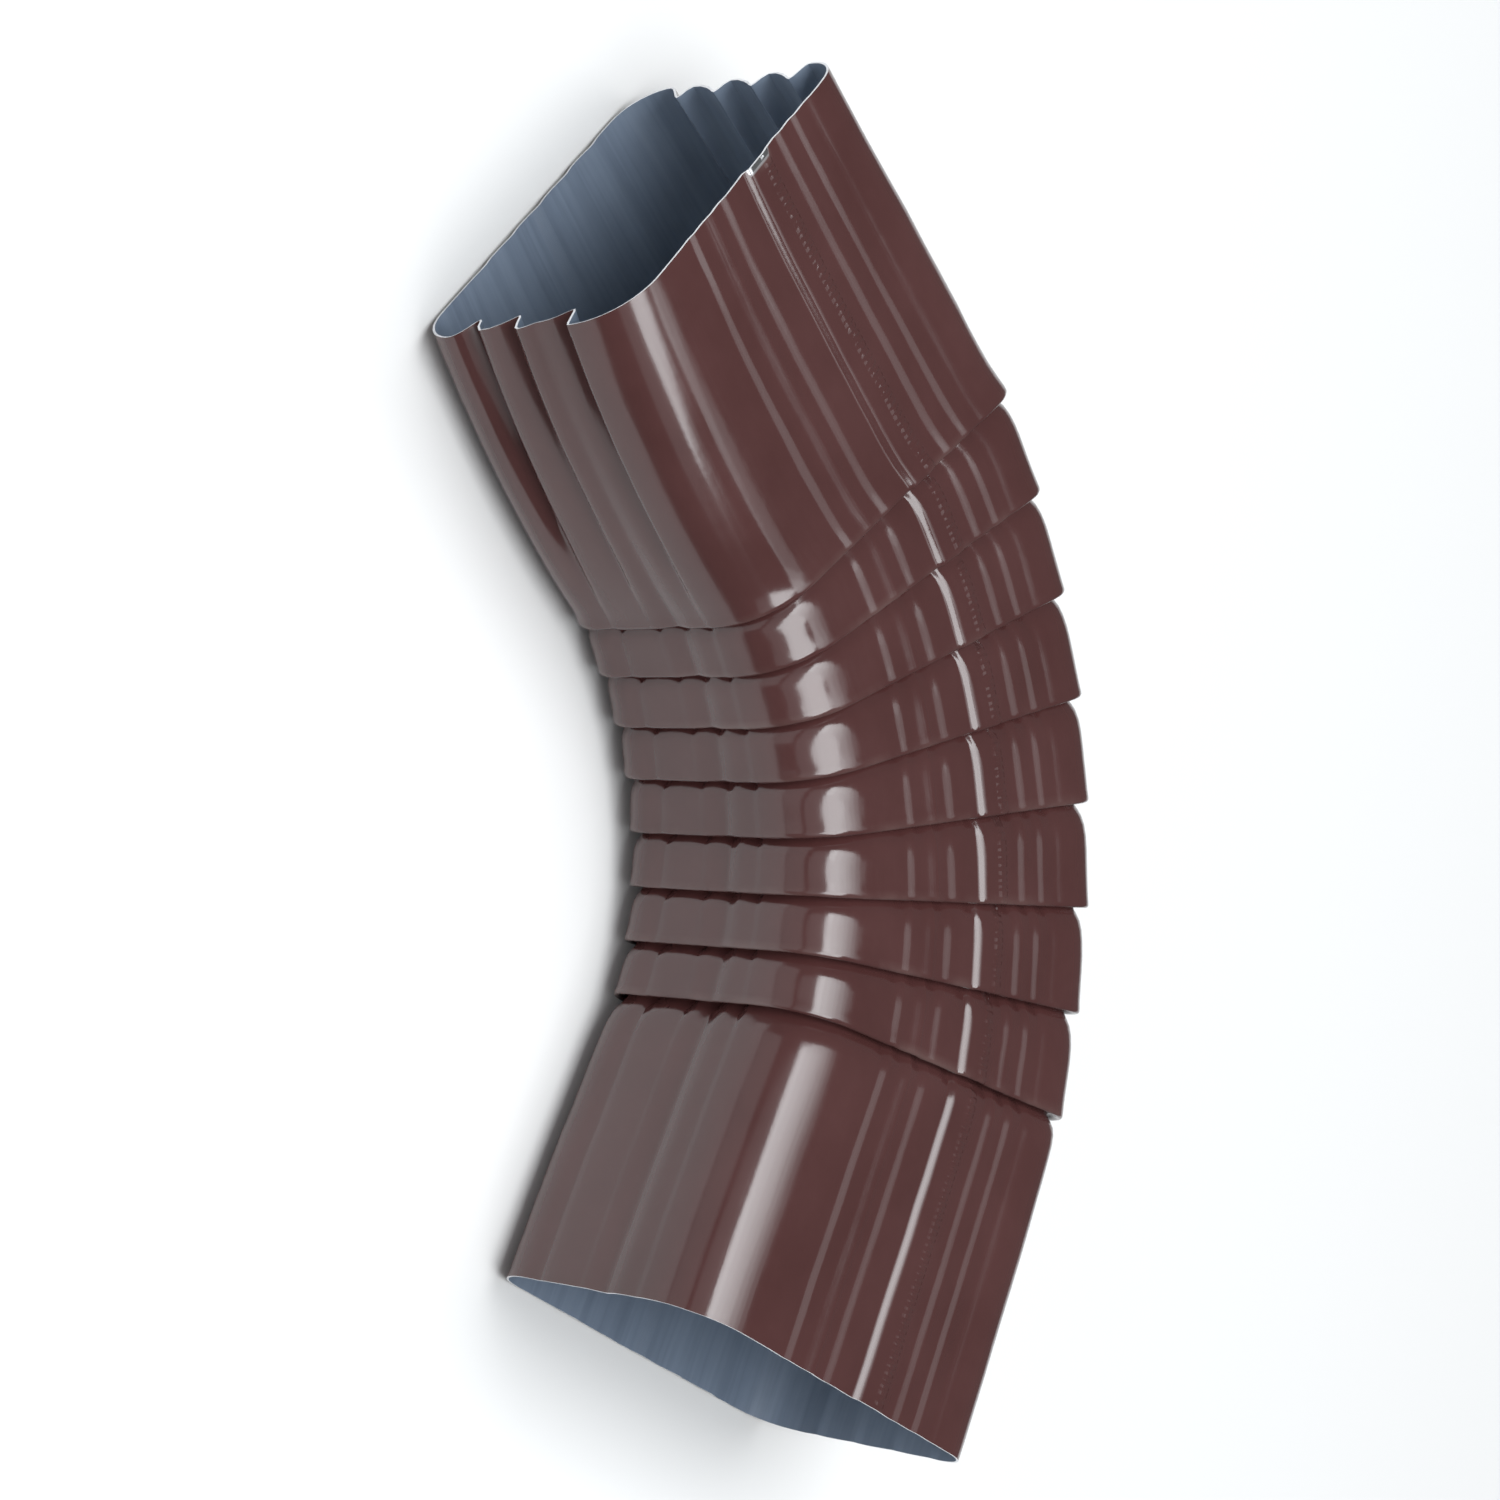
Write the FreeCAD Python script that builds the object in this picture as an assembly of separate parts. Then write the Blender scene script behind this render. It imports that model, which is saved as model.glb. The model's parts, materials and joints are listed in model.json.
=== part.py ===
import FreeCAD, Part
import math
import os

# Downspout elbow: one painted sheet, rolled to a ribbed rectangular tube and pleated round a bend.
# It lies on one wide side. The plain leg runs along -Y, the bend's axis is upright on the throat's side,
# and the crimped leg leads away past the bend. Lengths are millimetres and angles are degrees.

SIZES = [
    ("depth", 82.5, "outside of the section from throat to heel"),
    ("width", 51, "outside of the section from side to side"),
    ("corner", 11, "outside radius of the section's corners"),
    ("gauge", 0.4, "thickness of the sheet"),
    ("throat_radius", 72, "from the bend's axis to the throat"),
    ("bend", 71, "turn from the plain leg to the crimped leg"),
    ("pleats", 8, "number of lapped pleats"),
    ("leg_turn", 9, "turn between a leg and the pleat beside it"),
    ("plain_leg", 60, "plain leg along its middle, from its pleat to its rim"),
    ("crimped_leg", 65.5, "crimped leg along its middle, from its pleat to its rim"),
    ("heel_lap", 1.2, "height of a pleat's lap at the heel"),
    ("lap_gap", 0.3, "open gap under a pleat's lip"),
    ("side_ribs", 5, "ribs on each wide side, the seam taking the middle one's place on the upper side"),
    ("first_side_rib", 26, "from the throat to the first rib on a wide side"),
    ("last_side_rib", 18, "from the last rib on a wide side to the heel"),
    ("end_ribs", 4, "ribs on the throat and on the heel"),
    ("end_rib_edge", 2.4, "from a corner's round to the nearest rib of the throat or heel"),
    ("rib_depth", 0.6, "depth of a rib's step"),
    ("rib_step", 1.2, "width of a rib's steep flank"),
    ("seam_width", 7, "width of the lock seam"),
    ("seam_rise", 0.4, "how far the seam stands out"),
    ("seam_lock", 0.8, "folded layers of the seam inside the tube"),
    ("crimp_depth", 3, "depth of a crimp at the rim"),
    ("crimp_step", 3.5, "width of a crimp's steep flank at the rim"),
    ("crimp_throat", 6.3, "how far the throat is drawn in at the crimped rim"),
    ("crimp_heel", 0.8, "how far the heel is drawn in at the crimped rim"),
    ("crimp_clear", 3, "plain length between the nearest fold and the crimps"),
]

UP = FreeCAD.Vector(0, 0, 1)


class Sizes:
    """The sheet's values by name."""

    def __init__(self, sheet):
        for name, _, _ in SIZES:
            setattr(self, name, sheet.get(name))


def make_sheet(doc):
    """Driving dimensions, one row each: name, value and meaning."""
    sheet = doc.addObject("Spreadsheet::Sheet", "sizes")
    for row, (name, value, meaning) in enumerate(SIZES, start=1):
        sheet.set(f"A{row}", name)
        sheet.set(f"B{row}", str(value))
        sheet.setAlias(f"B{row}", name)
        sheet.set(f"C{row}", meaning)
    doc.recompute()
    return sheet


def across(angle):
    """Unit vector from throat to heel in the section plane at an angle round the bend."""
    turn = math.radians(angle)
    return FreeCAD.Vector(math.cos(turn), math.sin(turn), 0)


def along(angle):
    """Unit vector along the tube at an angle round the bend, towards the crimped leg."""
    turn = math.radians(angle)
    return FreeCAD.Vector(-math.sin(turn), math.cos(turn), 0)


class Section:
    """One closed outline of the tube: where it lies, and how far it stands in from the full outside.

    The inset is the same all round. The lean adds to it, by one amount at the throat and another at
    the heel, and changes evenly along the wide sides between them.
    """

    def __init__(self, size, throat_point, heading, inset=0, lean=(0, 0)):
        self.size = size
        self.throat_point = throat_point
        self.heading = heading
        self.throat, self.heel = (inset + more for more in lean)
        self.side_at_throat, self.side_at_heel = self.throat, self.heel
        self.radius = size.corner - inset
        self.side_depth = size.rib_depth
        self.throat_depths = [size.rib_depth] * int(size.end_ribs)
        self.heel_depths = self.throat_depths
        self.end_step = size.rib_step
        self.seam_stand = size.seam_rise

    def crimped(self):
        """Drawn in at a rim, with all but one rib of the throat, and of the heel, driven in as crimps."""
        size = self.size
        crimps = [size.crimp_depth] * (len(self.throat_depths) - 1)
        self.throat_depths = crimps + [size.rib_depth]
        self.heel_depths = [size.rib_depth] + crimps
        self.end_step = size.crimp_step
        self.throat += size.crimp_throat
        self.heel += size.crimp_heel
        return self

    def inside(self):
        """The sheet's inner face, with the seam's folded layers standing in from it."""
        self.seam_stand = -self.size.seam_lock
        return self

    def point(self, place, height):
        """Point of the section: place from the throat towards the heel, height above the middle."""
        return self.throat_point + self.heading * place + UP * height

    def half_width(self, place):
        """Height of the upper wide side above the middle, ribs apart."""
        share = place / self.size.depth
        inset = self.side_at_throat + share * (self.side_at_heel - self.side_at_throat)
        return self.size.width / 2 - inset

    def end_run(self, half, depths):
        """Ribs of the throat or heel, from the lower corner up: height and depth of each point."""
        outer_rib = half - self.size.end_rib_edge
        pitch = 2 * outer_rib / (len(depths) - 1)
        run = [(-half, 0)]
        for number, depth in enumerate(depths):
            rib = number * pitch - outer_rib
            run.append((rib - self.end_step / 2, depth))
            run.append((rib + self.end_step / 2, 0))
        run.append((half, 0))
        return run

    def side_run(self, first, last, with_seam):
        """Ribs of a wide side, from the throat's corner to the heel's: place and depth of each point."""
        size = self.size
        count = int(size.side_ribs)
        pitch = (size.depth - size.first_side_rib - size.last_side_rib) / (count - 1)
        run = [(first, 0)]
        for number in range(count):
            foot = size.first_side_rib + number * pitch - size.rib_step / 2
            crest = foot + size.rib_step
            run.append((foot, self.side_depth))
            if with_seam and number == count // 2:
                run.append((crest, -self.seam_stand))
                run.append((crest + size.seam_width, -self.seam_stand))
            else:
                run.append((crest, 0))
        run.append((last, 0))
        return run

    def edges(self):
        """Edges in order: lower side, heel, upper side and throat, with a corner arc after each."""
        heel_place = self.size.depth - self.heel
        near = self.throat + self.radius
        far = heel_place - self.radius
        near_half = self.half_width(near) - self.radius
        far_half = self.half_width(far) - self.radius
        lower, upper, heel, throat = [], [], [], []
        for place, depth in self.side_run(near, far, with_seam=False):
            lower.append(self.point(place, depth - self.half_width(place)))
        for place, depth in self.side_run(near, far, with_seam=True):
            upper.append(self.point(place, self.half_width(place) - depth))
        for height, depth in self.end_run(far_half, self.heel_depths):
            heel.append(self.point(heel_place - depth, height))
        for height, depth in self.end_run(near_half, self.throat_depths):
            throat.append(self.point(self.throat + depth, height))
        corners = [(far, -far_half), (far, far_half), (near, near_half), (near, -near_half)]
        runs = [lower, heel, upper[::-1], throat[::-1]]
        outline = []
        for run, following, corner in zip(runs, runs[1:] + runs[:1], corners):
            outline += [Part.makeLine(first, second) for first, second in zip(run, run[1:])]
            centre = self.point(*corner)
            outward = (run[-1] + following[0]) * 0.5 - centre
            middle = centre + outward.normalize() * self.radius
            outline.append(Part.Arc(run[-1], middle, following[0]).toShape())
        return outline

    def shares_plane(self, other):
        """Whether another section lies in this one's plane."""
        square = self.heading.cross(UP)
        step_off = square.dot(other.throat_point - self.throat_point)
        turn_off = square.dot(other.heading)
        return max(abs(step_off), abs(turn_off)) < FreeCAD.Base.Precision.confusion()


class Layout:
    """Places along the tube, worked out from the sizes."""

    def __init__(self, size):
        self.size = size
        self.last = int(size.pleats) - 1
        self.step = (size.bend - 2 * size.leg_turn) / self.last
        # The sheet is as long at the throat as at the heel, so the throat's laps take up the difference.
        self.throat_lap = size.heel_lap + size.depth * math.tan(math.radians(self.step / 2))
        self.hem = 2 * size.gauge
        self.tuck = self.hem + size.lap_gap

    def pleat_angle(self, number):
        return self.size.leg_turn + number * self.step

    def at_pleat(self, number, inset=0):
        """Section at a pleat's lip."""
        heading = across(self.pleat_angle(number))
        return Section(self.size, heading * self.size.throat_radius, heading, inset)

    def at_fold(self, number, inset, below=0):
        """Section at or just below the top of a pleat's fold, leaning in with the band that covers it."""
        size = self.size
        angle = self.pleat_angle(number)
        heel_radius = size.throat_radius + size.depth
        heel_point = across(angle) * heel_radius + along(angle) * (size.heel_lap - below)
        heading = across(angle - self.step / 2)
        taper = 0 if number == self.last else self.tuck / math.radians(self.step)
        lean = (taper * self.throat_lap / size.throat_radius, taper * size.heel_lap / heel_radius)
        return Section(size, heel_point - heading * size.depth, heading, inset, lean)

    def at_leg(self, pleat, angle, distance, inset):
        """Section square to a leg, a distance along its middle from its pleat."""
        middle = self.size.throat_radius + self.size.depth / 2
        centre = across(self.pleat_angle(pleat)) * middle + along(angle) * distance
        heading = across(angle)
        return Section(self.size, centre - heading * (self.size.depth / 2), heading, inset)

    def plain_rim(self, inset=0):
        return self.at_leg(0, 0, -self.size.plain_leg, inset)

    def crimp_foot(self, inset=0):
        """Section where the crimps fade out, clear of the nearest fold at the throat."""
        size = self.size
        lip_rise = size.depth / 2 * math.sin(math.radians(size.leg_turn))
        return self.at_leg(self.last, size.bend, lip_rise + self.throat_lap + size.crimp_clear, inset)

    def crimped_rim(self, inset=0):
        return self.at_leg(self.last, self.size.bend, self.size.crimped_leg, inset).crimped()


def outer_face(layout):
    """Sections of the painted face from the crimped rim to the plain rim.

    Each pleat has its lip, its hem and the crease inside its fold, and the tucked sheet below it.
    """
    size = layout.size
    sections = [layout.crimped_rim(), layout.crimp_foot()]
    for number in reversed(range(layout.last + 1)):
        sections.append(layout.at_pleat(number))
        sections.append(layout.at_pleat(number, layout.hem))
        sections.append(layout.at_fold(number, layout.hem + size.lap_gap / 2, below=size.gauge))
        sections.append(layout.at_pleat(number, layout.tuck))
    sections.append(layout.plain_rim())
    return sections


def inner_face(layout):
    """Sections of the inside face from the plain rim back to the crimped rim.

    Each pleat has the tucked sheet below it and the two edges of its fold.
    """
    gauge = layout.size.gauge
    sections = [layout.plain_rim(gauge)]
    for number in range(layout.last + 1):
        sections.append(layout.at_pleat(number, layout.tuck + gauge))
        sections.append(layout.at_fold(number, layout.tuck + gauge))
        sections.append(layout.at_fold(number, gauge))
    sections.append(layout.crimp_foot(gauge))
    sections.append(layout.crimped_rim(gauge))
    return [section.inside() for section in sections]


def facets(first, second):
    """Two flat facets between matching straight edges, as sheet creases rather than stretches."""
    start, end = (vertex.Point for vertex in first.Vertexes)
    far_start, far_end = (vertex.Point for vertex in second.Vertexes)
    triangles = ([start, end, far_end, start], [start, far_end, far_start, start])
    return [Part.Face(Part.makePolygon(corners)) for corners in triangles]


def stretch(section, following):
    """Skin from one section to the next: a flat ring where they share a plane, or a strip all round."""
    here, there = section.edges(), following.edges()
    if section.shares_plane(following):
        return [Part.makeFace([Part.Wire(here), Part.Wire(there)], "Part::FaceMakerBullseye")]
    strip = []
    for first, second in zip(here, there):
        rolled = isinstance(first.Curve, Part.Circle)
        strip += [Part.makeRuledSurface(first, second)] if rolled else facets(first, second)
    return strip


def folded_sheet(layout):
    """Solid sheet: the two faces, joined round both rims."""
    sections = outer_face(layout) + inner_face(layout)
    faces = []
    for section, following in zip(sections, sections[1:] + sections[:1]):
        faces += stretch(section, following)
    shell = Part.makeShell(faces)
    shell.sewShape()
    solid = Part.makeSolid(shell)
    if solid.Volume < 0:
        solid.reverse()
    return solid


def make_elbow(doc, sheet):
    """The elbow, resting on its lower wide side with the middle of its box over the origin."""
    elbow = doc.addObject("Part::Feature", "elbow")
    elbow.Label = "elbow"
    elbow.Shape = folded_sheet(Layout(Sizes(sheet)))
    box = elbow.Shape.optimalBoundingBox(False, False)
    elbow.Placement = FreeCAD.Placement(
        FreeCAD.Vector(-box.Center.x, -box.Center.y, -box.ZMin), FreeCAD.Rotation()
    )
    return elbow


def check(doc, sub_parts):
    """Stop before anything is written if an object failed or a shape is not sound."""
    for item in doc.Objects:
        if "Invalid" in item.State or "Error" in item.State:
            raise RuntimeError(f"{item.Label} failed: {item.State}")
    for item in sub_parts:
        if item.Shape.isNull() or not item.Shape.isValid():
            raise RuntimeError(f"{item.Label} has no valid shape")


def main():
    doc = FreeCAD.newDocument("downspout_elbow")
    sheet = make_sheet(doc)
    sub_parts = [make_elbow(doc, sheet)]
    doc.recompute()
    check(doc, sub_parts)
    os.makedirs("parts", exist_ok=True)
    for item in sub_parts:
        item.Shape.exportStep(f"parts/{item.Label}.step")
        print(item.Label, len(item.Shape.Solids), round(item.Shape.Volume, 1), item.Placement.Base)


main()
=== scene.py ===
import json
import math

import bmesh
import bpy
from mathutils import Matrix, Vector


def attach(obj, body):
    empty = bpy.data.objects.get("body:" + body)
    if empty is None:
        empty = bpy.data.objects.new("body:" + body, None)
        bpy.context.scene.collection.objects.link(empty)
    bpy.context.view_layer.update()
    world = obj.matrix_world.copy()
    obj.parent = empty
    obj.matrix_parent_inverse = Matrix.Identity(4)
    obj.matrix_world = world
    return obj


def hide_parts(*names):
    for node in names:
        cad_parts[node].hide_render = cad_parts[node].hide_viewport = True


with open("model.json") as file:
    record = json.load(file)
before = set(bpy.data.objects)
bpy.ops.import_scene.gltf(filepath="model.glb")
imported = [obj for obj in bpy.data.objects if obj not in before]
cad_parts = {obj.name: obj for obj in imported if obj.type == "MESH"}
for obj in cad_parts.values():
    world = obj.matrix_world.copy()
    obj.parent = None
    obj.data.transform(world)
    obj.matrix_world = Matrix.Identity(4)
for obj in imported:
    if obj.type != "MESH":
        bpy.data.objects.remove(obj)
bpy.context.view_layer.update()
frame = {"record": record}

# Downspout elbow: one sheet, rolled to a ribbed tube, folded into pleats round a bend and crimped at one
# end. The tube is drawn out section by section round the bend's axis, and set down in its place last.
MM = 0.001
DEPTH = 82.3 * MM                # throat to heel
WIDTH = 50.7 * MM                # side to side
GAUGE = 0.4 * MM
THROAT = 72.1 * MM               # bend's axis to the throat
BEND = math.radians(71)
LEG_TURN = math.radians(9)       # between a leg and the pleat beside it
PLEATS = 8
STEP = (BEND - 2 * LEG_TURN) / (PLEATS - 1)      # between neighbouring pleats
PLAIN_LEG = 59.8 * MM
RIM_CLEAR = 0.2 * MM             # from the plain rim to the end of the solid that it stands for
CRIMPED_LEG = 65.5 * MM
HEEL_LAP = 1.2 * MM              # height of a pleat's lap at the heel
MIDDLE = THROAT + DEPTH / 2

# Corner radii of the section, and the segments of each round.
NEAR_THROAT, FAR_THROAT, NEAR_HEEL, FAR_HEEL = 13 * MM, 9 * MM, 7.5 * MM, 10 * MM
FINE_ROUND, PLAIN_ROUND = 9, 5

# Ribs of a wide side: mm from the throat, depth and width of the steep flank.
NEAR_RIBS = [(24.8, 0.24, 1.6), (30.6, 0.18, 2.4), (36.2, 0.27, 1.9), (44.9, 0.42, 0.9),
             (56.8, 0.28, 1.9), (62.6, 0.26, 1.6), (68.4, 0.2, 2.0)]
FAR_RIBS = [(25, 0.8, 1.6), (35, 0.8, 1.6), (45, 0.8, 1.6), (55, 0.8, 1.6), (65, 0.8, 1.6)]
# Ribs of throat and heel: mm from the middle towards the near side, depth and width of the steep flank.
THROAT_RIBS = [(-11.6, 0.4, 1.0), (-1.8, 0.1, 1.0), (4.8, 0.85, 2.6), (11.2, 0.15, 1.0)]
HEEL_RIBS = [(-11, 0.5, 1.0), (-1.8, 0.5, 1.0), (7.4, 0.5, 1.0), (16.2, 0.4, 1.0)]
NEAR_DIP, END_DIP = 2.5, 2.4     # mm over which a rib dips slowly, before its foot
RIB_ROUND = 0.6 * MM             # past a near rib's crest
FOOT_SHARE = 0.9                 # share of a rib's depth from which a point is in its foot

SEAM_RIB = 3                     # the near rib that the lock seam follows
SEAM_WIDTH = 6.8 * MM
SEAM_RISE = 0.36 * MM
SEAM_ROUND = 0.8 * MM            # from the seam's step to its flat
SEAM_HOLLOW = 2.6 * MM           # from the seam's end back to the hollow before its rolled edge
SEAM_EDGE = 1.4 * MM             # width of the rolled edge
SEAM_BODY, KNURLED = -0.4, -1.0  # mark the seam and its rolled edge among the rib shares

# How far the painted face stands in from the full outside, along a pleat.
TUCK = 2.4 * MM
CREASE = 1.9 * MM
HEM = 1.25 * MM
LIP = 0.5 * MM
BELLY = 0.24 * MM
FOLD_ROUND = 0.6 * MM            # height of the round at a fold's top
LIP_ROUND = 0.5 * MM             # height of the round at a lip
BELLY_HEIGHT = 1.7 * MM
BAND = ((0.42, 0.45), (0.7, 0.6), (0.9, 1.15))   # share of the way to the next lip, and mm in
TUCKED_ENDS, TUCKED_SIDES = 1.0 * MM, 0.4 * MM   # how much deeper the ribs are under a lip

# The plain leg: mm below the first lip, how far in it stands there and the share of the deeper ribs lost.
PLAIN_NECK = ((1.6, 0.85, 0.7), (4.5, 0.4, 0.3))
NECK_TURN = 0.05                 # share of the leg's turn at the lower neck
PLAIN_INSET = 0.4 * MM
PLAIN_STATIONS = (0.17, 0.32, 0.5, 0.68, 0.84, 0.96, 1.0)

# The crimped leg. Its crimps are mm from the middle towards the near side, where the rim steps back out.
THROAT_CRIMPS = [-11.6, -1.8, 11.2]
HEEL_CRIMPS = [-11, -1.8, 7.4, 16.2]
FIRST_CREST = -16.5              # mm, where the first slope starts
HALF_STEP = 0.5                  # mm, half a crimp's steep flank
THROAT_CRIMP, HEEL_CRIMP = 4.8 * MM, 4.4 * MM    # depth of a crimp at the rim
CRIMP_CURVE = 1.7                # how much a slope steepens towards its step
CRIMP_START = 0.12               # share of the leg without crimps
CRIMP_TAPER = 0.95               # how a crimp's depth grows towards the rim
RIM_THROAT, RIM_HEEL = 7.6 * MM, 0.9 * MM        # how far the crimped rim is drawn in at throat and heel
DRAW_CURVE = 2.4                 # how the drawing in grows towards the rim
CRIMPED_INSET = 0.7 * MM
QUICK_TURN = 3                   # the leg's turn is spread over one part in this many of its length
CRIMPED_STATIONS = (0.08, 0.18, 0.3, 0.42, 0.54, 0.66, 0.78, 0.89, 0.97, 1.0)

BARE = 3.0                       # bare metal, on the scale of lip wear, where a rubbed lip is 1
EXACT = 1e-6                     # m, for finding vertices by their place
MERGE = 0.04 * MM


def across(turn):
    """From throat to heel in the section plane at a turn round the bend."""
    return Vector((math.cos(turn), math.sin(turn), 0))


def along(turn):
    """Along the tube at a turn round the bend, towards the crimped leg."""
    return Vector((-math.sin(turn), math.cos(turn), 0))


def inlet_middle():
    """Middle of the solid's plain end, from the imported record."""
    return next(Vector(mount["pos_m"]) for mount in frame["record"]["mounts"] if mount["name"] == "inlet")


BEND_AXIS = inlet_middle() + along(0) * (PLAIN_LEG + RIM_CLEAR) - across(LEG_TURN) * MIDDLE


# Selecting and moving


def activate(piece):
    bpy.ops.object.select_all(action="DESELECT")
    piece.select_set(True)
    bpy.context.view_layer.objects.active = piece


def edit():
    bpy.ops.object.mode_set(mode="EDIT")
    bpy.ops.mesh.select_mode(type="VERT")


def leave():
    bpy.ops.object.mode_set(mode="OBJECT")


def edit_mesh():
    return bmesh.from_edit_mesh(bpy.context.edit_object.data)


def show_edit():
    bmesh.update_edit_mesh(bpy.context.edit_object.data)


def pick(test):
    """Select the vertices that pass a test, and the edges between them."""
    mesh = edit_mesh()
    chosen = {vertex for vertex in mesh.verts if test(vertex)}
    for element in (*mesh.faces, *mesh.edges, *mesh.verts):
        element.select = False
    for vertex in chosen:
        vertex.select = True
    for edge in mesh.edges:
        if edge.verts[0] in chosen and edge.verts[1] in chosen:
            edge.select = True
    show_edit()


def move(offset):
    bpy.ops.transform.translate(value=offset)


def swing(turn, middle):
    """Turn the selection round an upright axis. With no window, the operator turns the other way."""
    bpy.ops.transform.rotate(value=-turn, orient_axis="Z", center_override=middle)


# What a vertex keeps: its ring along the tube and its wall, then its share of a rib, its distances round
# and along the tube, and the wear of its lip.
COUNTS = ("ring", "wall")
MEASURES = ("rib", "around", "along", "lip")


def kept(mesh, *names):
    """The layers of a mesh that hold what its vertices keep."""
    layers = mesh.verts.layers
    return [layers.int[name] if name in COUNTS else layers.float[name] for name in names]


# The section with its ribs


def dip(foot, depth, length):
    """The slow side of a rib, down to its foot: place, depth and share of the rib of each point."""
    points = ((-length, 0.5), (-0.5, 0.97), (0, 1.0))
    return [(foot + back * MM, share * depth * MM, share) for back, share in points]


def flank(middle, step):
    """Foot and crest of a rib's steep flank."""
    return (middle - step / 2) * MM, (middle + step / 2) * MM


def near_run():
    """Ribs of the near side, throat to heel, with the lock seam behind one of them."""
    run = []
    for number, (middle, depth, step) in enumerate(NEAR_RIBS):
        foot, crest = flank(middle, step)
        run += dip(foot, depth, NEAR_DIP)
        if number == SEAM_RIB:
            end = crest + SEAM_WIDTH
            run += [(crest, -SEAM_RISE, SEAM_BODY), (crest + SEAM_ROUND, -SEAM_RISE, SEAM_BODY)]
            run += [(end - SEAM_HOLLOW, -0.6 * SEAM_RISE, SEAM_BODY)]
            run += [(end - SEAM_EDGE, -0.8 * SEAM_RISE, KNURLED), (end, 0, KNURLED)]
        else:
            run += [(crest, 0, 0), (crest + RIB_ROUND, 0.05 * depth * MM, 0)]
    return run


def far_run():
    """Ribs of the far side, with fewer points."""
    run = []
    for middle, depth, step in FAR_RIBS:
        foot, crest = flank(middle, step)
        run += [(foot - NEAR_DIP * MM, 0.5 * depth * MM, 0.5), (foot, depth * MM, 1.0), (crest, 0, 0)]
    return run


def end_run(ribs):
    """Ribs of the throat or heel, far side to near."""
    run = []
    for middle, depth, step in ribs:
        foot, crest = flank(middle, step)
        run += dip(foot, depth, END_DIP)
        run += [(crest, 0, 0)]
    return run


THROAT_WALL, HEEL_WALL, UPPER_WALL, LOWER_WALL = 1, 2, 3, 4


def on_wall(vertex, wall):
    x, z = vertex.co.x, vertex.co.z
    if wall == THROAT_WALL:
        return abs(x - THROAT) < EXACT
    if wall == HEEL_WALL:
        return abs(x - THROAT - DEPTH) < EXACT
    return abs(z - (WIDTH / 2 if wall == UPPER_WALL else -WIDTH / 2)) < EXACT


def inward(wall, heading):
    """Into the tube from one of its walls, where the heading is from throat to heel."""
    up = Vector((0, 0, 1))
    return {THROAT_WALL: heading, HEEL_WALL: -heading, UPPER_WALL: -up, LOWER_WALL: up}[wall]


def round_corner(at_heel, at_top, radius, segments):
    """Bevel one corner of the plain rectangle."""
    x = THROAT + DEPTH if at_heel else THROAT
    z = WIDTH / 2 if at_top else -WIDTH / 2
    pick(lambda vertex: (vertex.co - Vector((x, 0, z))).length < EXACT)
    bpy.ops.mesh.bevel(offset=radius, offset_type="OFFSET", segments=segments, profile=0.5,
                       affect="VERTICES")


def roll_wall(wall, run):
    """Divide a straight wall and press its ribs."""
    pick(lambda vertex: on_wall(vertex, wall))
    bpy.ops.mesh.subdivide(number_cuts=len(run))
    pick(lambda vertex: on_wall(vertex, wall))
    level = wall in (UPPER_WALL, LOWER_WALL)
    mesh = edit_mesh()
    mesh.verts.index_update()
    row = [vertex for vertex in mesh.verts if vertex.select]
    row.sort(key=lambda vertex: vertex.co.x if level else vertex.co.z)
    wall_kept, rib_kept = kept(mesh, "wall", "rib")
    moves = []
    for vertex, (place, depth, share) in zip(row[1:-1], run):
        vertex[wall_kept] = wall
        vertex[rib_kept] = share
        if level:
            slide = Vector((THROAT + place - vertex.co.x, 0, 0))
        else:
            slide = Vector((0, 0, place - vertex.co.z))
        moves.append((vertex.index, slide + inward(wall, across(0)) * depth))
    show_edit()
    for index, offset in moves:
        pick(lambda vertex: vertex.index == index)
        move(offset)


def measure_around():
    """Give every vertex its distance round the section, from the far side's middle towards the throat."""
    mesh = edit_mesh()
    around, = kept(mesh, "around")
    far_middle = Vector((MIDDLE, 0, -WIDTH / 2))
    start = min(mesh.verts, key=lambda vertex: (vertex.co - far_middle).length)
    vertex = start
    edge = min(vertex.link_edges, key=lambda side: side.other_vert(start).co.x)
    distance = 0
    while True:
        vertex[around] = distance
        following = edge.other_vert(vertex)
        distance += (following.co - vertex.co).length
        if following is start:
            break
        edge = next(other for other in following.link_edges if other is not edge)
        vertex = following
    show_edit()


def make_section():
    """Closed outline of the tube, at the bend's start."""
    bpy.ops.mesh.primitive_plane_add(size=1, location=(MIDDLE, 0, 0), rotation=(math.pi / 2, 0, 0))
    section = bpy.context.object
    section.name = "section"
    bpy.ops.object.transform_apply(location=True, rotation=True, scale=True)
    edit()
    bpy.ops.mesh.select_all(action="SELECT")
    bpy.ops.transform.resize(value=(DEPTH, 1, WIDTH), center_override=(MIDDLE, 0, 0))
    mesh = edit_mesh()
    for name in COUNTS:
        mesh.verts.layers.int.new(name)
    for name in MEASURES:
        mesh.verts.layers.float.new(name)
    show_edit()
    round_corner(False, True, NEAR_THROAT, FINE_ROUND)
    round_corner(False, False, FAR_THROAT, PLAIN_ROUND)
    round_corner(True, True, NEAR_HEEL, PLAIN_ROUND)
    round_corner(True, False, FAR_HEEL, PLAIN_ROUND)
    bpy.ops.mesh.select_all(action="SELECT")
    bpy.ops.mesh.delete(type="ONLY_FACE")
    roll_wall(UPPER_WALL, near_run())
    roll_wall(LOWER_WALL, far_run())
    roll_wall(THROAT_WALL, end_run(THROAT_RIBS))
    roll_wall(HEEL_WALL, end_run(HEEL_RIBS))
    measure_around()
    leave()
    return section


# Drawing out the tube


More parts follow.
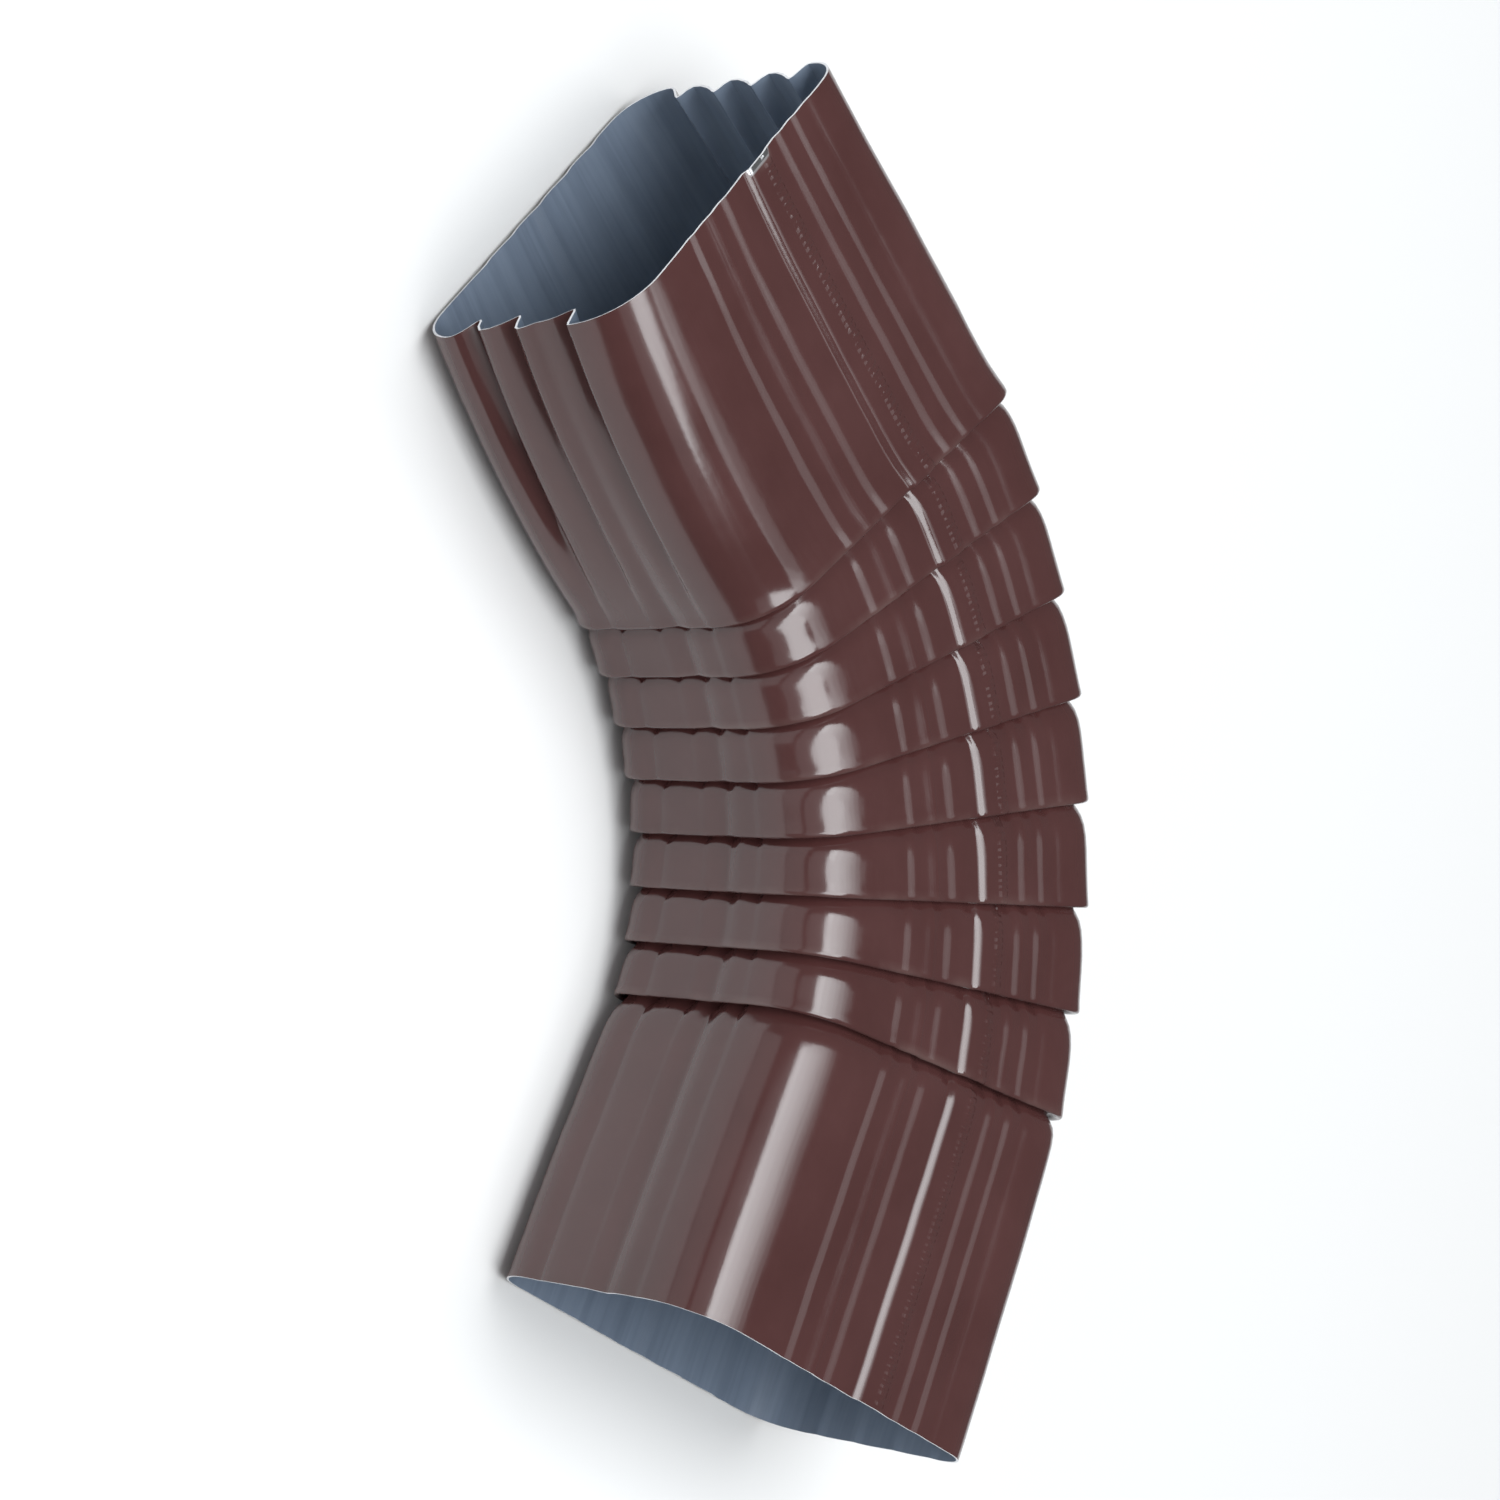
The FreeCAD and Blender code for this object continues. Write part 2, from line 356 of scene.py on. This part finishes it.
class OpenEnd:
    """The tube's open end while it is drawn out: its middle, its turn, its size and how far it has come."""

    def __init__(self, name, section):
        activate(section)
        bpy.ops.object.duplicate()
        self.piece = bpy.context.object
        self.piece.name = name
        self.middle = across(0) * MIDDLE
        self.turn = 0
        self.depth, self.width = DEPTH, WIDTH
        self.ring = 0
        self.travel = 0
        edit()
        bpy.ops.mesh.select_all(action="SELECT")

    def shift(self, middle, turn, inset, drawn=0.0):
        """Carry the selected end to a new place and size."""
        move(middle - self.middle)
        if turn != self.turn:
            swing(turn - self.turn, middle)
        depth, width = DEPTH - 2 * inset - drawn, WIDTH - 2 * inset
        lengthwise, upright = depth / self.depth, width / self.width
        bpy.ops.transform.resize(value=(lengthwise, lengthwise, upright), center_override=middle)
        self.travel += (middle - self.middle).length
        self.middle, self.turn, self.depth, self.width = middle, turn, depth, width

    def draw_out(self, middle, turn, inset, lip=0.0, drawn=0.0):
        """Extrude the end, and write on it what its vertices keep."""
        bpy.ops.mesh.extrude_edges_move(TRANSFORM_OT_translate={"value": (0, 0, 0)})
        self.ring += 1
        self.shift(middle, turn, inset, drawn)
        mesh = edit_mesh()
        ring_kept, along_kept, lip_kept = kept(mesh, "ring", "along", "lip")
        for vertex in mesh.verts:
            if vertex.select:
                vertex[ring_kept] = self.ring
                vertex[along_kept] = self.travel
                vertex[lip_kept] = lip
        show_edit()

    def press_wall(self, wall, test, depth):
        """Press chosen vertices of one wall of the end inwards."""
        ring_kept, wall_kept = kept(edit_mesh(), "ring", "wall")
        pick(lambda vertex: vertex[ring_kept] == self.ring and vertex[wall_kept] == wall and test(vertex))
        move(inward(wall, across(self.turn)) * depth)
        pick(lambda vertex: vertex[ring_kept] == self.ring)

    def sink_ribs(self, share=1):
        """Press the ribs deeper, as they are where the sheet goes under a lip, or lift them again."""
        rib_kept, = kept(edit_mesh(), "rib")
        for wall, depth in ((THROAT_WALL, TUCKED_ENDS), (HEEL_WALL, TUCKED_ENDS),
                            (UPPER_WALL, TUCKED_SIDES), (LOWER_WALL, TUCKED_SIDES)):
            self.press_wall(wall, lambda vertex: vertex[rib_kept] > FOOT_SHARE, share * depth)

    def heights(self, wall):
        """Heights of the end's vertices on throat or heel."""
        mesh = edit_mesh()
        ring_kept, wall_kept = kept(mesh, "ring", "wall")
        return [vertex.co.z for vertex in mesh.verts
                if vertex[ring_kept] == self.ring and vertex[wall_kept] == wall]

    def bare_seam(self):
        """Mark the seam's end, where the bare metal shows."""
        mesh = edit_mesh()
        ring_kept, rib_kept, lip_kept = kept(mesh, "ring", "rib", "lip")
        for vertex in mesh.verts:
            if vertex[ring_kept] == self.ring and vertex[rib_kept] < SEAM_BODY / 2:
                vertex[lip_kept] = BARE
        show_edit()

    def done(self):
        leave()
        return self.piece


def lip_middle(turn, rise=0.0):
    """Middle of the section at a lip, or above it."""
    return across(turn) * MIDDLE + along(turn) * rise


def fold_middle(below):
    """Middle of the section at the top of a fold, or below it, for a pleat at the bend's start."""
    heel = across(0) * (THROAT + DEPTH) + along(0) * (HEEL_LAP - below)
    return heel - across(-STEP / 2) * (DEPTH / 2)


def start_tucked(name, section):
    """Start a stretch of tube under a lip."""
    end = OpenEnd(name, section)
    end.shift(lip_middle(0), 0, TUCK)
    end.sink_ribs()
    return end


def fold_pleat(end):
    """Up under the lip, over the crease, down the hem and round the lip."""
    end.draw_out(fold_middle(FOLD_ROUND), -STEP / 2, TUCK)
    end.draw_out(fold_middle(0), -STEP / 2, CREASE)
    end.sink_ribs(-1)
    end.draw_out(fold_middle(FOLD_ROUND), -STEP / 2, HEM)
    end.draw_out(lip_middle(0, LIP_ROUND), 0, HEM, lip=0.2)
    end.draw_out(lip_middle(0), 0, LIP, lip=1.0)
    end.draw_out(lip_middle(0, LIP_ROUND), 0, 0.0, lip=0.6)
    end.draw_out(lip_middle(0, BELLY_HEIGHT), 0, BELLY)


def make_band(section):
    """One pleat and the band above it, up to where it goes under the next lip."""
    end = start_tucked("band", section)
    fold_pleat(end)
    for share, inset in BAND:
        end.draw_out(lip_middle(STEP * share), STEP * share, inset * MM)
    end.draw_out(lip_middle(STEP), STEP, TUCK)
    end.sink_ribs()
    return end.done()


def make_plain_leg(section):
    """From under the first lip down to the straight-cut rim."""
    end = start_tucked("plain_leg", section)
    down = -along(-LEG_TURN)
    start = lip_middle(0)
    for turn, (below, inset, share) in zip((0, -NECK_TURN * LEG_TURN), PLAIN_NECK):
        end.draw_out(start + down * below * MM, turn, inset * MM)
        end.sink_ribs(-share)
    for share in PLAIN_STATIONS:
        end.draw_out(start + down * PLAIN_LEG * share, -LEG_TURN * share, PLAIN_INSET * (1 - share) ** 2)
    return end.done()


def crimp_share(height, steps):
    """How much of a crimp's depth a point has: a slope up to each step, and nothing just past it."""
    crest = FIRST_CREST * MM
    for step in steps:
        foot = (step - HALF_STEP) * MM
        if height < step * MM:
            return max(0, (height - crest) / (foot - crest)) ** CRIMP_CURVE
        crest = (step + HALF_STEP) * MM
    return 0


def make_crimped_leg(section):
    """The last pleat and the leg above it, drawn in and crimped towards its rim."""
    end = start_tucked("crimped_leg", section)
    fold_pleat(end)
    up = along(LEG_TURN)
    start = lip_middle(0)
    pressed = 0.0
    for share in CRIMPED_STATIONS:
        turn = LEG_TURN * min(1, share * QUICK_TURN)
        taper = max(0, (share - CRIMP_START) / (1 - CRIMP_START)) ** CRIMP_TAPER
        draw = share ** DRAW_CURVE
        sideways = across(turn) * (RIM_THROAT - RIM_HEEL) / 2 * draw
        end.draw_out(start + up * CRIMPED_LEG * share + sideways, turn, CRIMPED_INSET,
                     drawn=(RIM_THROAT + RIM_HEEL) * draw)
        for wall, steps, deepest in ((THROAT_WALL, THROAT_CRIMPS, THROAT_CRIMP),
                                     (HEEL_WALL, HEEL_CRIMPS, HEEL_CRIMP)):
            for height in end.heights(wall):
                depth = deepest * crimp_share(height * WIDTH / end.width, steps) * (taper - pressed)
                end.press_wall(wall, lambda vertex: abs(vertex.co.z - height) < EXACT, depth)
        pressed = taper
    end.bare_seam()
    return end.done()


def make_elbow():
    """Legs and bands, each turned to its place round the bend and joined to one sheet."""
    section = make_section()
    plain_leg = make_plain_leg(section)
    band = make_band(section)
    pieces = [(plain_leg, 0)]
    for number in range(PLEATS - 1):
        activate(band)
        bpy.ops.object.duplicate()
        pieces.append((bpy.context.object, number))
    pieces.append((make_crimped_leg(section), PLEATS - 1))
    for piece, number in pieces:
        activate(piece)
        swing(LEG_TURN + number * STEP, (0, 0, 0))
        bpy.ops.object.transform_apply(location=True, rotation=True, scale=True)
    for spare in (section, band):
        bpy.data.objects.remove(spare)
    activate(plain_leg)
    for piece, _ in pieces:
        piece.select_set(True)
    bpy.ops.object.join()
    plain_leg.name = "folded_elbow"
    edit()
    bpy.ops.mesh.select_all(action="SELECT")
    bpy.ops.mesh.remove_doubles(threshold=MERGE)
    bpy.ops.mesh.normals_make_consistent(inside=False)
    move(BEND_AXIS)
    leave()
    return plain_leg


def apply_modifier(piece, name, kind, **settings):
    modifier = piece.modifiers.new(name, kind)
    for key, value in settings.items():
        setattr(modifier, key, value)
    activate(piece)
    bpy.ops.object.modifier_apply(modifier=modifier.name)


# Finishes


class Wiring:
    """The nodes of one material or group, and the links between them."""

    def __init__(self, tree):
        self.nodes, self.link = tree.nodes, tree.links.new

    def put(self, kind, **values):
        """A node, with values for its settings or, where it has none of that name, its sockets."""
        node = self.nodes.new("ShaderNode" + kind)
        for name, value in values.items():
            if hasattr(node, name):
                setattr(node, name, value)
            else:
                node.inputs[name.replace("_", " ").title()].default_value = value
        return node

    def measure(self, name):
        """What the vertices keep under a name."""
        return self.put("Attribute", attribute_name=name).outputs["Fac"]

    def marks(self):
        """The sheet's streaks and blotches."""
        group = self.nodes.new("ShaderNodeGroup")
        group.node_tree = marks_group
        return group.outputs["Streak"], group.outputs["Blotch"]

    def noise(self, place, **values):
        node = self.put("TexNoise", **values)
        self.link(place, node.inputs["Vector"])
        return node.outputs["Fac"]

    def span(self, source, from_low, from_high, to_low, to_high, clamp=True):
        """Turn one range of values into another."""
        node = self.put("MapRange", from_min=from_low, from_max=from_high, to_min=to_low, to_max=to_high,
                        clamp=clamp)
        self.link(source, node.inputs["Value"])
        return node.outputs["Result"]

    def shade(self, source, low, high, dark, light):
        """Turn a range of values into colours between two ends."""
        node = self.put("ValToRGB")
        for element, position, colour in zip(node.color_ramp.elements, (low, high), (dark, light)):
            element.position = position
            element.color = colour
        self.link(source, node.inputs["Fac"])
        return node.outputs["Color"]

    def cover(self, under, colour, share):
        """Lay a colour over another."""
        node = self.put("Mix", data_type="RGBA")
        node.inputs["B"].default_value = colour
        self.link(share, node.inputs["Factor"])
        self.link(under, node.inputs["A"])
        return node.outputs["Result"]

    def combine(self, operation, *sources):
        node = self.put("Math", operation=operation)
        for source, socket in zip(sources, node.inputs):
            self.link(source, socket)
        return node.outputs["Value"]

    def total(self, first, second):
        return self.combine("ADD", first, second)

    def product(self, first, second):
        return self.combine("MULTIPLY", first, second)

    def bump(self, height, strength, distance, shader):
        node = self.put("Bump", strength=strength, distance=distance)
        self.link(height, node.inputs["Height"])
        self.link(node.outputs["Normal"], shader.inputs["Normal"])


def new_material(name):
    material = bpy.data.materials.new(name)
    material.use_nodes = True
    return material, Wiring(material.node_tree), material.node_tree.nodes["Principled BSDF"]


STREAKS = (700, 22, 1)           # waves a metre, round and along the tube


def sheet_marks():
    """Rolling streaks that run along the tube, and soft blotches, each from 0 to 1."""
    group = bpy.data.node_groups.new("sheet_marks", "ShaderNodeTree")
    for name in ("Streak", "Blotch"):
        group.interface.new_socket(name=name, in_out="OUTPUT", socket_type="NodeSocketFloat")
    wiring = Wiring(group)
    flow = wiring.put("CombineXYZ")
    wiring.link(wiring.measure("around"), flow.inputs["X"])
    wiring.link(wiring.measure("along"), flow.inputs["Y"])
    stretch = wiring.put("Mapping", scale=STREAKS)
    wiring.link(flow.outputs["Vector"], stretch.inputs["Vector"])
    place = wiring.put("TexCoord").outputs["Object"]
    out = group.nodes.new("NodeGroupOutput")
    wiring.link(wiring.noise(stretch.outputs["Vector"], scale=1.0, detail=3.0), out.inputs["Streak"])
    wiring.link(wiring.noise(place, scale=42.0, detail=4.0, roughness=0.6), out.inputs["Blotch"])
    return group


marks_group = sheet_marks()

DEEP_BROWN, WARM_BROWN = (0.058, 0.0205, 0.0195, 1), (0.073, 0.0275, 0.0265, 1)
RUBBED_BROWN = (0.16, 0.11, 0.10, 1)
BARE_METAL = (0.72, 0.73, 0.75, 1)
DEEP_PRIMER, PALE_PRIMER = (0.130, 0.164, 0.222, 1), (0.20, 0.25, 0.325, 1)
DULL_CUT, BRIGHT_CUT = (0.60, 0.61, 0.63, 1), (0.84, 0.85, 0.87, 1)
PAINT_SHINE = 0.72               # specular level
TOOTH = 1.3 * MM                 # length of one tooth of the seam's rolled edge


def rolled_teeth(wiring, peel):
    """Height of the teeth along the seam's rolled edge, uneven as the paint's fine peel is."""
    edge = wiring.span(wiring.measure("rib"), -0.5, -0.9, 0.0, 1.0)
    phase = wiring.span(wiring.measure("along"), 0, TOOTH, 0, 2 * math.pi, clamp=False)
    teeth = wiring.total(wiring.combine("SINE", phase), wiring.span(peel, 0.3, 0.7, -1.2, 1.2))
    return wiring.product(edge, wiring.span(teeth, -0.8, 0.8, 0.0, 1.6))


def brown_paint():
    """Gloss brown coil coat, a little rubbed along the lips, with the seam's rolled edge."""
    material, wiring, shader = new_material("brown_paint")
    shader.inputs["Specular IOR Level"].default_value = PAINT_SHINE
    streak, blotch = wiring.marks()
    lip = wiring.measure("lip")
    paint = wiring.shade(blotch, 0.3, 0.7, DEEP_BROWN, WARM_BROWN)
    wear = wiring.product(lip, wiring.span(blotch, 0.45, 0.65, 0.0, 0.5))
    bare = wiring.product(wiring.span(lip, 1.15, 1.9, 0, 1), wiring.span(blotch, 0.3, 0.45, 0, 1))
    rubbed = wiring.cover(paint, RUBBED_BROWN, wear)
    wiring.link(wiring.cover(rubbed, BARE_METAL, bare), shader.inputs["Base Color"])
    wiring.link(bare, shader.inputs["Metallic"])
    gloss = wiring.span(wiring.total(streak, blotch), 0.7, 1.3, 0.11, 0.19)
    wiring.link(gloss, shader.inputs["Roughness"])
    peel = wiring.noise(wiring.put("TexCoord").outputs["Object"], scale=420.0, detail=2.0)
    fine = wiring.total(wiring.span(streak, 0, 1, 0, 0.22), wiring.span(peel, 0, 1, 0, 0.2))
    wiring.bump(wiring.total(fine, rolled_teeth(wiring, peel)), 0.5, 0.16 * MM, shader)
    return material


def grey_primer():
    """The thin blue-grey coat inside."""
    material, wiring, shader = new_material("grey_primer")
    streak, blotch = wiring.marks()
    mixed = wiring.span(wiring.total(streak, blotch), 0.6, 1.4, 0, 1)
    wiring.link(wiring.shade(mixed, 0.0, 1.0, DEEP_PRIMER, PALE_PRIMER), shader.inputs["Base Color"])
    wiring.link(wiring.span(streak, 0.3, 0.7, 0.28, 0.45), shader.inputs["Roughness"])
    wiring.bump(streak, 0.4, 0.1 * MM, shader)
    return material


def cut_metal():
    """Bare sheet at the two rims, dulled in patches and scored by the shear."""
    material, wiring, shader = new_material("cut_metal")
    shader.inputs["Metallic"].default_value = 1
    streak, blotch = wiring.marks()
    mixed = wiring.span(wiring.total(streak, blotch), 0.7, 1.3, 0, 1)
    wiring.link(wiring.shade(mixed, 0.0, 1.0, DULL_CUT, BRIGHT_CUT), shader.inputs["Base Color"])
    wiring.link(wiring.span(blotch, 0.3, 0.7, 0.26, 0.48), shader.inputs["Roughness"])
    wiring.bump(streak, 0.4, 0.05 * MM, shader)
    return material


# The finished sheet

DENTS = (("dents", 9 * MM, 0.14 * MM), ("sags", 30 * MM, 0.34 * MM))     # name, grain and depth
CREASE_ANGLE = math.radians(50)

elbow = make_elbow()
for finish in (brown_paint(), grey_primer(), cut_metal()):
    elbow.data.materials.append(finish)
apply_modifier(elbow, "rounded", "SUBSURF", levels=1, render_levels=1)
for name, grain, depth in DENTS:
    hollows = bpy.data.textures.new(name, "CLOUDS")
    hollows.noise_scale = grain
    for axis in "XYZ":
        apply_modifier(elbow, name, "DISPLACE", texture=hollows, strength=depth, direction=axis,
                       texture_coords="LOCAL")
apply_modifier(elbow, "sheet", "SOLIDIFY", thickness=GAUGE, offset=-1, use_quality_normals=True,
               material_offset=1, material_offset_rim=2)
activate(elbow)
bpy.ops.object.shade_smooth_by_angle(angle=CREASE_ANGLE)

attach(elbow, "root")
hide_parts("elbow")


# Floor, light and camera

FLOOR_SIZE, FLOOR_DROP = 8, 0.2 * MM
PALE = (0.76, 0.76, 0.76, 1)
DAYLIGHT = (0.96, 0.985, 1.0)
AMBIENT = 0.13
BOX_HEIGHT, HAZE_HEIGHT = 1.6, 1.7
# Panels over the object: left, right, front and back edges, and radiance.
MAIN_BOX = (-0.80, 0.28, -0.96, 0.1, 6.1)
HAZE_BOX = (-2.2, 0.28, -2.2, 0.66, 0.5)
# The upright card on the left: its middle, height, length and radiance.
SIDE_CARD = ((-1.5, -0.1, 0.47), 0.86, 1.9, 0.6)
# Strips of the box that fades towards the right: left and right edges, and radiance.
FADE = ((-0.80, -0.45, 7.2), (-0.45, -0.15, 6.0), (-0.15, 0.1, 4.9), (0.1, 0.35, 3.9), (0.35, 0.6, 2.9),
        (0.6, 0.9, 1.8), (0.9, 1.3, 0.8))
FADE_FRONT, FADE_BACK = 0.1, 0.78
CAMERA_PLACE = (-0.38165, -0.19459, 0.41247)
CAMERA_TURN = (-1.0524, -47.6441, 28.3355)       # degrees
LENS, SENSOR = 78, 36


def pale_floor():
    bpy.ops.object.select_all(action="DESELECT")
    bpy.ops.mesh.primitive_plane_add(size=FLOOR_SIZE, location=(0, 0, -FLOOR_DROP))
    floor = bpy.context.object
    floor.name = "floor"
    material, _, shader = new_material("pale_floor")
    shader.inputs["Base Color"].default_value = PALE
    shader.inputs["Roughness"].default_value = 0.9
    floor.data.materials.append(material)


def add_panel(name, place, turn, length, breadth, radiance):
    """An evenly lit panel, facing down before it is turned."""
    bpy.ops.object.light_add(type="AREA", location=place, rotation=turn)
    lamp = bpy.context.object
    lamp.name = name
    lamp.data.shape = "RECTANGLE"
    lamp.data.size, lamp.data.size_y = length, breadth
    lamp.data.energy = radiance * math.pi * length * breadth
    lamp.data.color = DAYLIGHT


def soft_box(name, left, right, front, back, radiance, height=BOX_HEIGHT):
    """A panel over the object, placed by its edges."""
    place = ((left + right) / 2, (front + back) / 2, height)
    add_panel(name, place, (0, 0, 0), right - left, back - front, radiance)


def light_studio():
    soft_box("main_box", *MAIN_BOX)
    soft_box("haze_box", *HAZE_BOX, HAZE_HEIGHT)
    card_middle, card_height, card_length, card_radiance = SIDE_CARD
    add_panel("side_card", card_middle, (0, -math.pi / 2, 0), card_height, card_length, card_radiance)
    for number, (left, right, radiance) in enumerate(FADE):
        soft_box(f"fade_box_{number}", left, right, FADE_FRONT, FADE_BACK, radiance)
    world = bpy.data.worlds.new("studio")
    world.use_nodes = True
    world.node_tree.nodes["Background"].inputs["Color"].default_value = (1, 1, 1, 1)
    world.node_tree.nodes["Background"].inputs["Strength"].default_value = AMBIENT
    bpy.context.scene.world = world


def place_camera():
    bpy.ops.object.camera_add(location=CAMERA_PLACE, rotation=[math.radians(angle) for angle in CAMERA_TURN])
    camera = bpy.context.object
    camera.data.lens = LENS
    camera.data.sensor_width = SENSOR
    bpy.context.scene.camera = camera


pale_floor()
light_studio()
place_camera()
bpy.context.scene.view_settings.view_transform = "Standard"
